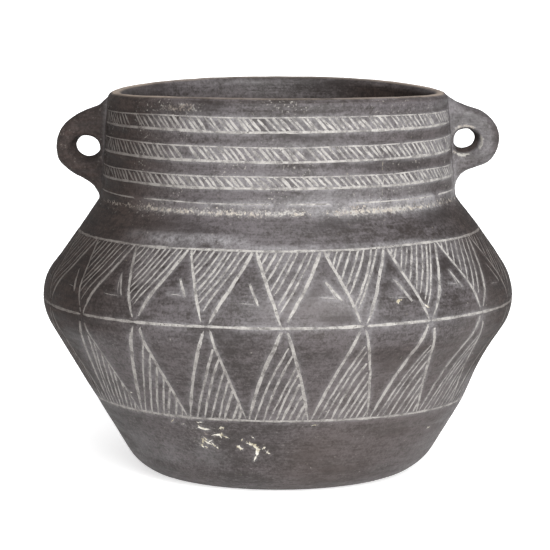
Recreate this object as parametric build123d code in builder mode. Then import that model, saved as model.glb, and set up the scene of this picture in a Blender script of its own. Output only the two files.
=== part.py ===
"""Black clay pot: a coil-built, burnished jar with a wide girth, a straight neck and two pierced lugs.

The jar is built up in pieces the way a potter does it: a pressed dish for the base, two rings of wall,
a neck collar, a rim coil and two lugs set into shallow sockets in the collar.  The seams are bevelled.
The decoration is cut into the burnished clay and rubbed full of pale lime, so every group of cuts has
its own filler part lying flush in the grooves.
"""

from build123d import *
import os
from math import cos, pi, radians, sin, sqrt, tan
from random import Random

# ---- Overall outline (mm): radius and height of the corners of the outer face -------------------
height = 232.0
foot = Vector(82.5, 0)             # lower wall produced down to the floor
girth = Vector(147.6, 109.0)       # sharp corner the two cones would make
neck_foot = Vector(106.8, 166.6)   # shoulder runs into the neck here
neck_lean = -0.075                 # the neck closes by this much per mm of height
foot_round = 29.0
girth_round = 32.0
neck_foot_round = 7.0

# ---- Wall ---------------------------------------------------------------------------------------
wall = 9.0
base_thickness = 11.0
lip_radius = 97.2                  # crown of the lip
lip_inner_radius = 91.8
lip_start = 225.0                  # height where the lip starts to roll inwards

# ---- Bevelled seams: outside radius, outside height, climb per mm of wall going inwards ----------
dish_seam = (91.4, 15.0, 0.5)
girth_seam = (141.3, 104.9, 0.4)
neck_seam = (107.6, 164.9, -0.5)
rim_seam = (102.6, 222.4, -0.45)
seam_reach_in = 18.0               # how far a seam is drawn past its outside end, inwards
seam_reach_out = 14.0              # and outwards

# ---- Decoration ---------------------------------------------------------------------------------
groove_depth = 0.6
shoulder_line = 147.5
girth_line = 106.4
lower_line = 48.4
line_width = 1.7
hatch_bands = ((212.0, 221.2), (195.4, 204.5), (180.2, 187.7))
foot_band = (164.9, 172.4)
foot_crust = (168.9, 3.0)          # middle height and width of the pale crust round the neck foot
border_width = 1.0                 # rings that close each hatched band above and below
channel_depth = 0.6
triangle_count = 19
first_corner = -6.4                # bearing in degrees of one upper corner, 0 faces the front
crowding = 2.2                     # the triangles stand this many degrees closer on the front
apex_lean = -1.3                   # degrees; every triangle leans a little the same way
hatch_pitch = 4.1
stroke_lean = 0.68                 # neck strokes run this far sideways for their height
edge_width = 1.7
hatch_width = 1.1
line_gap = 2.0                     # triangles stop this far short of the ring they stand on
tip_gap = 2.4                      # and their points stop this far short of the girth line
tip_half = 0.8                     # degrees each edge stays from the middle of the point
corner_gap = 0.6                   # degrees each edge stays from the next triangle's corner
lug_clear = 8.0                    # degrees round each lug left without neck strokes

# ---- Lugs: (radius, height) down the outside edge, then the pierced hole ------------------------
left_lug_edge = (
    (99, 222), (109, 218.5), (123, 212), (132.2, 196),
    (124, 180), (111, 173.5), (99, 166.5),
)
left_hole = ((113.4, 196.5), (7.2, 6.2))
right_lug_edge = (
    (99, 222.5), (111, 219.5), (125, 213.5), (132.0, 201),
    (126, 187.3), (112, 180.5), (99, 171),
)
right_hole = ((112.1, 200.6), (6.0, 6.0))
lug_depth = 15.0
lug_round = 5.6
hole_round = 1.5
lug_seat = 2.5                     # how deep each lug is let into the collar
seat_low, seat_high = 150, 240     # heights the round bottom of those sockets spans

hand = Random(19)                  # the unevenness of the hand


def neck_radius(z):
    return neck_foot.X + neck_lean * (z - neck_foot.Y)


# ---- Surface of the girth, needed to lay the cuts on it -----------------------------------------
down = (foot - girth).normalized()
up = (neck_foot - girth).normalized()
half_corner = radians(down.get_angle(up)) / 2
round_center = girth + (down + up).normalized() * (girth_round / sin(half_corner))
round_start = (girth + down * (girth_round / tan(half_corner))).Y
round_end = (girth + up * (girth_round / tan(half_corner))).Y


def body_radius(z):
    """Radius of the burnished outer face at a height."""
    if z > neck_foot.Y:
        return neck_radius(z)
    if z > round_end:
        return girth.X + up.X / up.Y * (z - girth.Y)
    if z > round_start:
        return round_center.X + sqrt(girth_round**2 - (z - round_center.Y) ** 2)
    return foot.X + (girth.X - foot.X) * z / girth.Y


def on_body(bearing, z):
    """Point on the outer face; bearing in degrees from the front, growing to the right."""
    turn = radians(bearing)
    return Vector(body_radius(z) * sin(turn), -body_radius(z) * cos(turn), z)


def out_of_body(bearing, z):
    """Direction square to the outer face."""
    turn = radians(bearing)
    fall = body_radius(z - 0.5) - body_radius(z + 0.5)
    return Vector(sin(turn), -cos(turn), fall).normalized()


# ---- Sections in the plane of the axis: x is the radius, y the height ---------------------------
def channel_edge(low, high):
    """Corners of one shallow plain channel between two raised neck bands."""
    return [
        (neck_radius(low), low),
        (neck_radius(low + 1) - channel_depth, low + 1),
        (neck_radius(high - 1) - channel_depth, high - 1),
        (neck_radius(high), high),
    ]


def corner(sketch, point, radius):
    """Round one corner of the sketch that is being drawn."""
    fillet(sketch.vertices().sort_by_distance(Vector(*point))[0], radius=radius)


def neck_points():
    """Outer line of the neck from the foot up to the lip, with the plain channels between bands."""
    points = []
    lows = [foot_band[1], hatch_bands[2][1], hatch_bands[1][1]]
    highs = [hatch_bands[2][0], hatch_bands[1][0], hatch_bands[0][0]]
    for low, high in zip(lows, highs):
        points += channel_edge(low, high)
    return points + [(neck_radius(lip_start), lip_start)]


with BuildSketch() as outline:
    with BuildLine():
        side = Polyline((0, 0), foot, girth, neck_foot, *neck_points())
        lip = ThreePointArc(side @ 1, (neck_radius(lip_start) - 1.6, height - 2.2), (lip_radius, height))
        Polyline(lip @ 1, (0, height), (0, 0))
    make_face()
    corner(outline, (foot.X, foot.Y), foot_round)
    corner(outline, (girth.X, girth.Y), girth_round)
    corner(outline, (neck_foot.X, neck_foot.Y), neck_foot_round)

slant = wall / cos(radians(31))
inner_foot = (foot.X - slant + 0.6 * base_thickness, base_thickness)
inner_girth = (girth.X - slant - 0.3, girth.Y + 0.2)
inner_neck = (neck_foot.X - 10.2, 162.5)

with BuildSketch() as hollow:
    with BuildLine():
        rise = Polyline(
            (0, base_thickness), inner_foot, inner_girth, inner_neck,
            (lip_inner_radius, lip_start - 1),
        )
        roll = ThreePointArc(rise @ 1, (lip_inner_radius + 1.2, height - 2.4), (lip_radius, height))
        Polyline(roll @ 1, (lip_radius, height + 10), (0, height + 10), (0, base_thickness))
    make_face()
    corner(hollow, inner_foot, foot_round - wall)
    corner(hollow, inner_girth, girth_round - wall)
    corner(hollow, inner_neck, 15)

with BuildSketch() as wall_section:
    add(outline.sketch)
    add(hollow.sketch, mode=Mode.SUBTRACT)

# Thin shell the filler lies in, and the same shell reaching out of the clay for cutting the grooves.
with BuildSketch() as filler_section:
    add(outline.sketch)
    offset(outline.sketch, amount=-groove_depth, mode=Mode.SUBTRACT)

with BuildSketch() as cutter_section:
    offset(outline.sketch, amount=2.5)
    offset(outline.sketch, amount=-groove_depth, mode=Mode.SUBTRACT)


# ---- Pieces of section ---------------------------------------------------------------------------
def seam_ends(seam):
    """Both ends of a bevelled seam, carried well past the faces of the wall."""
    radius, z, climb = seam
    inner = (radius - seam_reach_in, z + seam_reach_in * climb)
    outer = (radius + seam_reach_out, z - seam_reach_out * climb)
    return inner, outer


def wall_within(corners):
    """The wall section inside the given corners."""
    with BuildSketch() as stretch:
        add(wall_section.sketch)
        Polygon(*corners, align=None, mode=Mode.INTERSECT)
    return stretch.sketch


def wall_between(lower, upper):
    """The wall section between two seams."""
    inner_low, outer_low = seam_ends(lower)
    inner_high, outer_high = seam_ends(upper)
    return wall_within((inner_low, outer_low, outer_high, inner_high))


def shell_between(section, low, high):
    """A stretch of one of the thin shells."""
    with BuildSketch() as stretch:
        add(section.sketch)
        with Locations((120, (low + high) / 2)):
            Rectangle(130, high - low, mode=Mode.INTERSECT)
    return stretch.sketch


def shell_rings(section, rings):
    """Narrow rings of one of the thin shells; each is a middle height and a width."""
    with BuildSketch() as narrow:
        for z, width in rings:
            with Locations((120, z)):
                Rectangle(90, width)
        add(section.sketch, mode=Mode.INTERSECT)
    return narrow.sketch


# ---- Straight cuts ------------------------------------------------------------------------------
def bar(start, end, width, thickness=14.0, raised=0.0):
    """A bar laid on the face from start to end, each a bearing and a height."""
    a = on_body(*start)
    b = on_body(*end)
    along = (b - a).normalized()
    out = out_of_body((start[0] + end[0]) / 2, (start[1] + end[1]) / 2)
    out = (out - along * out.dot(along)).normalized()
    seat = Plane(origin=(a + b) / 2 + out * raised, x_dir=along, z_dir=out)
    return Box((b - a).length, width, thickness, mode=Mode.PRIVATE).locate(seat.location)


def toward(start, end, part):
    """Point part of the way from start to end; both are a bearing and a height."""
    return tuple(a + (b - a) * part for a, b in zip(start, end))


def upper_corner(step):
    """Bearing of one upper corner; the spacing is tighter on the front than behind."""
    turn = 360 / triangle_count * step
    return first_corner + turn - crowding * sin(radians(turn))


def apex(step):
    """Bearing where an upper and a lower triangle point at each other across the girth line."""
    return (upper_corner(step) + upper_corner(step + 1)) / 2 + apex_lean


def lower_corner(step):
    return (apex(step - 1) + apex(step)) / 2 + apex_lean


def hatched_triangle(left, right, left_tip, right_tip, strokes, from_tip):
    """Two edge cuts that stay a little open at the tip, and hatching drawn along one of them."""
    bars = [bar(left, left_tip, edge_width), bar(right, right_tip, edge_width)]
    for stroke in range(1, strokes + 1):
        part = stroke / (strokes + 0.9)
        if from_tip:
            start = toward(right_tip, right, part)
            end = toward(left, right, part)
            start = toward(start, end, 0.05)
        else:
            start = toward(right, left, part)
            end = toward(left, left_tip, 1 - part)
            end = toward(end, start, 0.05)
        bars.append(bar(start, end, hatch_width))
    return bars


def shoulder_triangle(step):
    """A triangle hanging from the shoulder line, and the tick in the plain one on its right."""
    top, bottom = shoulder_line - line_gap, girth_line + tip_gap
    left = (upper_corner(step) + corner_gap, top)
    right = (upper_corner(step + 1) - corner_gap, top)
    tips = (apex(step) - tip_half, bottom), (apex(step) + tip_half, bottom)
    tick_top = (right[0] - 0.4 + hand.uniform(-0.3, 0.3), girth_line + 28 + hand.uniform(-2, 2))
    tick_end = (tick_top[0] + 2.6, tick_top[1] - 12)
    tick = bar(tick_top, tick_end, hatch_width)
    return hatched_triangle(left, right, *tips, hand.choice((7, 8, 8)), False) + [tick]


def lower_triangle(step):
    """A triangle standing on the lower line with its point at the girth."""
    top, bottom = girth_seam[1] - tip_gap, lower_line + line_gap
    left = (lower_corner(step) + corner_gap, bottom)
    right = (lower_corner(step + 1) - corner_gap, bottom)
    tips = (apex(step) - tip_half, top), (apex(step) + tip_half, top)
    return hatched_triangle(left, right, *tips, hand.choice((6, 6, 7)), True)


def beside_lug(bearing):
    return min(abs(bearing - 90), abs(bearing - 270)) < lug_clear


def neck_strokes(band, thickness, raised):
    """One band of slanted strokes all round the neck, left out where the lugs sit."""
    low, high = band[0] + 1.8, band[1] - 1.3
    around = 2 * pi * neck_radius(low)
    lean = 360 * stroke_lean * (high - low) / around
    count = round(around / hatch_pitch)
    waver = Random(round(low))
    bars = []
    for stroke in range(count):
        bearing = 360 * stroke / count + waver.uniform(-0.25, 0.25)
        start = (bearing - lean / 2, high - waver.uniform(0, 0.5))
        end = (bearing + lean / 2, low + waver.uniform(0, 0.5))
        if not beside_lug(bearing):
            bars.append(bar(start, end, hatch_width, thickness, raised))
    return bars


# The bars of each group are joined once and then used both for the filler and for the grooves.
with BuildPart() as shoulder_bars:
    add([cut for step in range(triangle_count) for cut in shoulder_triangle(step)])

with BuildPart() as lower_bars:
    add([cut for step in range(triangle_count) for cut in lower_triangle(step)])

border_rings = [(z, border_width) for low, high in hatch_bands for z in (low + 0.8, high - 0.4)]
shoulder_rings = [(shoulder_line, line_width)]
girth_rings = [(girth_line, line_width)]
lower_rings = [(lower_line, line_width)]

# ---- Lugs ---------------------------------------------------------------------------------------
with BuildPart() as lug_seat_core:
    with BuildSketch(Plane.XZ):
        with BuildLine():
            Polyline(
                (0, seat_low), (neck_radius(seat_low) - lug_seat, seat_low),
                (neck_radius(seat_high) - lug_seat, seat_high), (0, seat_high),
                close=True,
            )
        make_face()
    revolve(axis=Axis.Z)


def is_outer_edge(edge):
    """The long curved edges down the outside of a lug."""
    return edge.geom_type == GeomType.BSPLINE and edge.length > 60


with BuildPart() as left_lug:
    with BuildSketch(Plane.XZ.offset(-lug_depth / 2)):
        with BuildLine():
            Spline(*[(-radius, z) for radius, z in left_lug_edge])
            Line((-left_lug_edge[-1][0], left_lug_edge[-1][1]), (-left_lug_edge[0][0], left_lug_edge[0][1]))
        make_face()
        with Locations((-left_hole[0][0], left_hole[0][1])):
            Ellipse(*left_hole[1], mode=Mode.SUBTRACT)
    extrude(amount=lug_depth)
    fillet(left_lug.edges().filter_by(GeomType.ELLIPSE), radius=hole_round)
    fillet(left_lug.edges().filter_by(is_outer_edge), radius=lug_round)
    add(lug_seat_core.part, mode=Mode.SUBTRACT)

with BuildPart() as right_lug:
    with BuildSketch(Plane.XZ.offset(-lug_depth / 2)):
        with BuildLine():
            Spline(*right_lug_edge)
            Line(right_lug_edge[-1], right_lug_edge[0])
        make_face()
        with Locations(right_hole[0]):
            Ellipse(*right_hole[1], mode=Mode.SUBTRACT)
    extrude(amount=lug_depth)
    fillet(right_lug.edges().filter_by(GeomType.ELLIPSE), radius=hole_round)
    fillet(right_lug.edges().filter_by(is_outer_edge), radius=lug_round)
    add(lug_seat_core.part, mode=Mode.SUBTRACT)

# ---- Clay body ----------------------------------------------------------------------------------
with BuildPart() as base_dish:
    with BuildSketch(Plane.XZ):
        seam_inner, seam_outer = seam_ends(dish_seam)
        add(wall_within(((0, -5), (seam_outer[0], -5), seam_outer, seam_inner, (0, seam_inner[1]))))
    revolve(axis=Axis.Z)

with BuildPart() as lower_grooves:
    with BuildSketch(Plane.XZ):
        add(shell_between(cutter_section, lower_line - 5, girth_seam[1]))
    revolve(axis=Axis.Z)
    add(lower_bars.part, mode=Mode.INTERSECT)

with BuildPart() as lower_wall:
    with BuildSketch(Plane.XZ):
        add(wall_between(dish_seam, girth_seam))
    revolve(axis=Axis.Z)
    with BuildSketch(Plane.XZ):
        add(shell_rings(cutter_section, lower_rings))
    revolve(axis=Axis.Z, mode=Mode.SUBTRACT)
    add(lower_grooves.part.solids(), mode=Mode.SUBTRACT)

with BuildPart() as shoulder_grooves:
    with BuildSketch(Plane.XZ):
        add(shell_between(cutter_section, girth_line, shoulder_line + 5))
    revolve(axis=Axis.Z)
    add(shoulder_bars.part, mode=Mode.INTERSECT)

with BuildPart() as shoulder_wall:
    with BuildSketch(Plane.XZ):
        add(wall_between(girth_seam, neck_seam))
    revolve(axis=Axis.Z)
    with BuildSketch(Plane.XZ):
        add(shell_rings(cutter_section, shoulder_rings + girth_rings))
    revolve(axis=Axis.Z, mode=Mode.SUBTRACT)
    add(shoulder_grooves.part.solids(), mode=Mode.SUBTRACT)

with BuildPart() as neck_collar:
    with BuildSketch(Plane.XZ):
        add(wall_between(neck_seam, rim_seam))
    revolve(axis=Axis.Z)
    with BuildSketch(Plane.XZ):
        add(shell_rings(cutter_section, border_rings + [foot_crust]))
    revolve(axis=Axis.Z, mode=Mode.SUBTRACT)
    for band in hatch_bands:
        add(neck_strokes(band, groove_depth + 2, 1 - groove_depth / 2), mode=Mode.SUBTRACT)
    add(left_lug.part, mode=Mode.SUBTRACT)
    add(right_lug.part, mode=Mode.SUBTRACT)

with BuildPart() as rim_coil:
    with BuildSketch(Plane.XZ):
        seam_inner, seam_outer = seam_ends(rim_seam)
        add(wall_within((seam_inner, seam_outer, (seam_outer[0], height + 5), (seam_inner[0], height + 5))))
    revolve(axis=Axis.Z)

# ---- Pale filler rubbed into the cuts -----------------------------------------------------------
with BuildPart() as lower_triangles_filler:
    with BuildSketch(Plane.XZ):
        add(shell_between(filler_section, lower_line - 5, girth_seam[1]))
    revolve(axis=Axis.Z)
    add(lower_bars.part, mode=Mode.INTERSECT)

with BuildPart() as lower_line_filler:
    with BuildSketch(Plane.XZ):
        add(shell_rings(filler_section, lower_rings))
    revolve(axis=Axis.Z)

with BuildPart() as girth_line_filler:
    with BuildSketch(Plane.XZ):
        add(shell_rings(filler_section, girth_rings))
    revolve(axis=Axis.Z)

with BuildPart() as shoulder_triangles_filler:
    with BuildSketch(Plane.XZ):
        add(shell_between(filler_section, girth_line, shoulder_line + 5))
    revolve(axis=Axis.Z)
    add(shoulder_bars.part, mode=Mode.INTERSECT)

with BuildPart() as shoulder_line_filler:
    with BuildSketch(Plane.XZ):
        add(shell_rings(filler_section, shoulder_rings))
    revolve(axis=Axis.Z)

with BuildPart() as neck_foot_crust:
    with BuildSketch(Plane.XZ):
        add(shell_rings(filler_section, [foot_crust]))
    revolve(axis=Axis.Z)
    add(left_lug.part, mode=Mode.SUBTRACT)
    add(right_lug.part, mode=Mode.SUBTRACT)

with BuildPart() as neck_border_filler:
    with BuildSketch(Plane.XZ):
        add(shell_rings(filler_section, border_rings))
    revolve(axis=Axis.Z)
    add(left_lug.part, mode=Mode.SUBTRACT)
    add(right_lug.part, mode=Mode.SUBTRACT)

with BuildPart() as upper_neck_strokes_filler:
    add(neck_strokes(hatch_bands[0], groove_depth, -groove_depth / 2))

with BuildPart() as middle_neck_strokes_filler:
    add(neck_strokes(hatch_bands[1], groove_depth, -groove_depth / 2))

with BuildPart() as lower_neck_strokes_filler:
    add(neck_strokes(hatch_bands[2], groove_depth, -groove_depth / 2))

# ---- Hand over ----------------------------------------------------------------------------------
named_parts = {
    "base_dish": base_dish,
    "lower_wall": lower_wall,
    "shoulder_wall": shoulder_wall,
    "neck_collar": neck_collar,
    "rim_coil": rim_coil,
    "left_lug": left_lug,
    "right_lug": right_lug,
    "lower_triangles_filler": lower_triangles_filler,
    "lower_line_filler": lower_line_filler,
    "girth_line_filler": girth_line_filler,
    "shoulder_triangles_filler": shoulder_triangles_filler,
    "shoulder_line_filler": shoulder_line_filler,
    "neck_foot_crust": neck_foot_crust,
    "neck_border_filler": neck_border_filler,
    "upper_neck_strokes_filler": upper_neck_strokes_filler,
    "middle_neck_strokes_filler": middle_neck_strokes_filler,
    "lower_neck_strokes_filler": lower_neck_strokes_filler,
}
os.makedirs("parts", exist_ok=True)
for name, built in named_parts.items():
    built.part.label = name
    export_step(built.part, f"parts/{name}.step")
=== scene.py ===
"""Burnished black clay jar: incised, lime-rubbed decoration, straight neck and two pierced lugs.

The whole wall is one surface of revolution, unrolled into a flat sheet (u runs round the jar, v runs along
its outline).  The incised cuts are laid into the sheet as real furrows, and the sheet is then split at the
potter's seams into the clay pieces.  The pale filler is a thin crust lying in the furrows.
Lengths are in millimetres until a mesh is made.
"""

import math
import random
from dataclasses import dataclass

import bpy
import numpy as np
import openvdb
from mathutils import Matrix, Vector, noise
from mathutils.geometry import delaunay_2d_cdt
from mathutils.kdtree import KDTree


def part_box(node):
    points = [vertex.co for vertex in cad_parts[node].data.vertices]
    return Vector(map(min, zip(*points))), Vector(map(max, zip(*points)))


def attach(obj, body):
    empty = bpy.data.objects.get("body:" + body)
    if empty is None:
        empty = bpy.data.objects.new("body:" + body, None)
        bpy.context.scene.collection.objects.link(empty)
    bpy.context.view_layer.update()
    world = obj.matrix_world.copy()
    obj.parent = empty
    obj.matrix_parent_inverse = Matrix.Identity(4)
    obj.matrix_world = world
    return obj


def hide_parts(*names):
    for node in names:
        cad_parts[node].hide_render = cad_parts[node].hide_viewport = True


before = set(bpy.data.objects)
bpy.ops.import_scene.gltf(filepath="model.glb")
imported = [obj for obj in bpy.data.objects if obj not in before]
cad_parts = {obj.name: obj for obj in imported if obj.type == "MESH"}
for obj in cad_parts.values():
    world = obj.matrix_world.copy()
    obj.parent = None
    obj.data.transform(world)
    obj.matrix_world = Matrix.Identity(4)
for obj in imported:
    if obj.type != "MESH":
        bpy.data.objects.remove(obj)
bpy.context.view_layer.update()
MM = 0.001

# ---- Sizes shared with the CAD ----
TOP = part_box("rim_coil")[1].z / MM
GIRTH_Z = 109.0
SEAM_Z = {
    "dish": 15.0,
    "girth": 104.9,
    "neck": 164.9,
    "rim": 222.4,
}
INSIDE_Z = {
    "rim": 218.0,
    "neck": 158.0,
    "girth": 108.5,
    "dish": 21.0,
}
FOOT = (82.5, 0.0)
GIRTH = (147.6, GIRTH_Z)
NECK_FOOT = (106.8, 166.6)
NECK_LEAN = -0.075
LIP_OUT = (NECK_FOOT[0] + NECK_LEAN * (TOP - NECK_FOOT[1]), TOP)
LIP_IN = (91.9, TOP)
SHOULDER_LINE = 147.5
GIRTH_LINE = 106.4
LOWER_LINE = 48.4
HATCH_BANDS = ((212.0, 221.2), (195.4, 204.5), (180.2, 187.7))
FOOT_BAND = (164.9, 172.4)
CHANNEL_DEPTH = 1.0
TRIANGLES = 19
FIRST_CORNER = -6.4
CROWDING = 2.2
APEX_LEAN = -1.3
LUG_BEARINGS = (-90.0, 90.0)
NECK_RADIUS = 104.0
# Depth of the triangles' edges, of the strokes inside them, and of the lines round the jar.
EDGE_DEPTH = 0.6
HATCH_DEPTH = 0.42
LINE_DEPTH = 0.45

SHEET_RADIUS = 120.0          # one radian round the jar is this wide on the unrolled sheet
HALF_TURN = math.pi * SHEET_RADIUS
FULL_TURN = 2 * HALF_TURN
AROUND = 360                  # points in every full ring
OVERLAP = 14.0                # the sheet is drawn this far past a full turn at both ends, then trimmed
GRID = 2.3                    # spacing of the plain points of the sheet

hand = random.Random(41)


# ---- Outline ----
def rounded_line(corners, step=0.25):
    """Points along a line with rounded corners; each corner is (radius, height, rounding)."""
    points = [np.array(corners[0][:2])]
    for before, here, after in zip(corners, corners[1:], corners[2:]):
        corner = np.array(here[:2])
        back = np.array(before[:2]) - corner
        ahead = np.array(after[:2]) - corner
        back /= np.linalg.norm(back)
        ahead /= np.linalg.norm(ahead)
        half = math.acos(float(np.clip(back @ ahead, -1, 1))) / 2
        middle = back + ahead
        center = corner + middle / np.linalg.norm(middle) * here[2] / math.sin(half)
        start = corner + back * here[2] / math.tan(half) - center
        end = corner + ahead * here[2] / math.tan(half) - center
        for part in np.linspace(0, 1, 13):
            spoke = start * (1 - part) + end * part
            points.append(center + spoke / np.linalg.norm(spoke) * here[2])
    points.append(np.array(corners[-1][:2]))
    points = np.array(points)
    along = np.concatenate([[0], np.cumsum(np.linalg.norm(np.diff(points, axis=0), axis=1))])
    even = np.arange(0, along[-1], step)
    return even, np.interp(even, along, points[:, 0]), np.interp(even, along, points[:, 1])


OUTLINE = (
    (0, 0, 0), (*FOOT, 29), (*GIRTH, 32), (*NECK_FOOT, 7), (*LIP_OUT, 4.9),
    (*LIP_IN, 4.7), (91.9, 216, 20), (96.6, 162.5, 15), (136.8, 109.2, 23), (78.6, 11, 20), (0, 11, 0),
)
line_s, line_r, line_z = rounded_line(OUTLINE)
lip_index = int(np.argmax(line_z > TOP - 0.01))


def s_at(z):
    """Place along the outline of a height on the outside."""
    return float(np.interp(z, line_z[:lip_index], line_s[:lip_index]))


def s_inside(z):
    """Place along the outline of a height on the inside."""
    inner = slice(lip_index + 40, None)
    return float(np.interp(-z, -line_z[inner], line_s[inner]))


def outer_height(v):
    """Heights on the outside of places along the outline."""
    return np.interp(v, line_s[:lip_index], line_z[:lip_index])


seam_v = {name: s_at(z) for name, z in SEAM_Z.items()}
inside_v = {name: s_inside(z) for name, z in INSIDE_Z.items()}


# ---- The unrolled sheet ----
def smooth(low, high, value):
    """Nothing up to low, rising smoothly to one at high; low may be the larger of the two."""
    t = np.clip((value - low) / (high - low), 0, 1)
    return t * t * (3 - 2 * t)


def window(value, low, high, soft):
    """One between low and high, fading to nothing over soft on both sides."""
    return smooth(low - soft, low + soft, value) * smooth(high + soft, high - soft, value)


def on_sheet(bearing, z):
    """Sheet point of a bearing in degrees from the front, growing to the right, and a height."""
    return np.array((math.radians(bearing) * SHEET_RADIUS, s_at(z)))


def ring_noise(bearing, lobes, seed):
    """Smooth wandering value that closes on itself round the jar, about -1 to 1."""
    turn = math.radians(bearing)
    return noise.noise(Vector((math.cos(turn) * lobes, math.sin(turn) * lobes, seed * 7.3))) * 1.6


def from_lug(bearing):
    """Distance in degrees to the nearer lug."""
    return min(abs((bearing - lug + 180) % 360 - 180) for lug in LUG_BEARINGS)


@dataclass
class Cut:
    """One furrow: its path on the sheet, its half width along the path, its depth, and what fills it."""

    path: np.ndarray
    half: np.ndarray
    depth: float
    filler: str
    stretch: float  # true width on the clay of one unit of u here


cuts = []


def add_cut(path, half, depth, filler):
    """Keeps a cut, with copies of it one turn further where the sheet overlaps itself."""
    middle = path[:, 1].mean()
    stretch = float(np.interp(middle, line_s, line_r)) / SHEET_RADIUS
    u = path[:, 0]
    turns = [0]
    if np.ptp(u) < HALF_TURN:
        turns = [turn for turn in (-1, 0, 1) if np.abs(u + turn * FULL_TURN).min() < HALF_TURN + OVERLAP]
    for turn in turns:
        shifted = path + np.array((turn * FULL_TURN, 0))
        cuts.append(Cut(shifted, half, depth, filler, stretch))


def draw(start, end, width, depth, filler, tail=0.45, head=0.75, waver=0.22):
    """A hand-drawn furrow between two (bearing, height) points; the tool lifts towards its tail."""
    a, b = on_sheet(*start), on_sheet(*end)
    length = float(np.linalg.norm(b - a))
    count = max(4, round(length / 2.2))
    t = np.linspace(0, 1, count)
    side = np.array((-(b - a)[1], (b - a)[0])) / length
    bow = hand.uniform(-1, 1) * min(0.9, length * 0.016)
    phase = hand.uniform(0, 100)
    shake = np.array([noise.noise(Vector((phase, k * 0.35, 3.0))) for k in range(count)]) * waver * 1.6
    path = a + np.outer(t, b - a) + np.outer(bow * np.sin(math.pi * t) + shake, side)
    swell = np.array([noise.noise(Vector((k * 0.45, phase, 9.0))) for k in range(count)])
    ends = np.minimum(head + (1 - head) * smooth(0, 0.12, t), tail + (1 - tail) * smooth(0, 0.2, 1 - t))
    half = width / 2 * (1.06 + 0.34 * swell) * ends
    add_cut(path, half, depth, filler)


def draw_ring(z, width, depth, filler, wander=0.35, seed=1, span=None):
    """A line round the jar, or over a span of bearings, that wanders a little up and down."""
    first, last = span if span else (-187, 187)
    count = max(4, round(last - first) + 1)
    bearings = np.linspace(first, last, count)
    u = np.radians(bearings) * SHEET_RADIUS
    v = np.array([s_at(z) + wander * ring_noise(b, 2.5, seed) for b in bearings])
    swell = np.array([ring_noise(b, 14, seed + 3) for b in bearings])
    half = width / 2 * (1.06 + 0.34 * swell)
    if span:
        t = np.linspace(0, 1, count)
        half = half * np.minimum(0.5 + 0.5 * smooth(0, 0.06, t), 0.5 + 0.5 * smooth(0, 0.06, 1 - t))
    add_cut(np.column_stack((u, v)), np.maximum(half, 0.2), depth, filler)


# ---- Triangles ----
def upper_corner(step):
    """Bearing of one upper corner; the spacing is tighter on the front than behind."""
    turn = 360 / TRIANGLES * step
    return FIRST_CORNER + turn - CROWDING * math.sin(math.radians(turn))


def apex(step):
    """Bearing where an upper and a lower triangle point at each other across the girth line."""
    return (upper_corner(step) + upper_corner(step + 1)) / 2 + APEX_LEAN


def lower_corner(step):
    return (apex(step - 1) + apex(step)) / 2 + APEX_LEAN


def between(start, end, part):
    return tuple(a + (b - a) * part for a, b in zip(start, end))


def shaken(point, turn=0.25, rise=0.6):
    return point[0] + hand.uniform(-turn, turn), point[1] + hand.uniform(-rise, rise)


def shoulder_triangle(step):
    """Hatched triangle hanging from the shoulder line, and the short tick in the plain one beside it."""
    filler = "shoulder_triangles_filler"
    top = SHOULDER_LINE - 0.7
    left = (upper_corner(step) + 0.5, top)
    right = (upper_corner(step + 1) - 0.45, top)
    left_tip = (apex(step) - 0.75 + hand.uniform(-0.3, 0.3), GIRTH_LINE + hand.uniform(0.5, 3.5))
    right_tip = (apex(step) + 0.85 + hand.uniform(-0.3, 0.3), GIRTH_LINE + hand.uniform(0.5, 3.5))
    draw(left, left_tip, hand.uniform(1.7, 2.2), EDGE_DEPTH, filler)
    draw(right, right_tip, hand.uniform(1.9, 2.5), EDGE_DEPTH, filler)
    strokes = hand.choice((7, 8, 8, 9))
    for stroke in range(1, strokes + 1):
        part = (stroke + hand.uniform(-0.12, 0.12)) / (strokes + 0.8)
        start = shaken(between(right, left, part), 0.1, 0.4)
        end = shaken(between(left, left_tip, 1 - part), 0.25, 0.9)
        draw(start, between(start, end, hand.uniform(0.9, 0.99)), hand.uniform(1.1, 1.5), HATCH_DEPTH, filler)
    tick_top = shaken((upper_corner(step + 1) - 0.3, GIRTH_LINE + 25), 0.5, 1.5)
    tick_end = (tick_top[0] + hand.uniform(2.0, 3.4), tick_top[1] - hand.uniform(9, 12))
    draw(tick_top, tick_end, hand.uniform(1.2, 1.8), LINE_DEPTH, filler, tail=0.7)
    base_z = tick_end[1] + hand.uniform(0, 3)
    base_start = (tick_end[0] - hand.uniform(3.5, 6), base_z)
    draw(base_start, (tick_end[0] - 0.9, base_z - 0.6), 0.6, 0.18, filler, head=0.4)
    if hand.random() < 0.35:
        draw(shaken(tick_top, 0.1, 1.5), (tick_end[0] - 1.3, tick_end[1] + 1), 0.7, 0.2, filler, waver=0.1)


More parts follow.
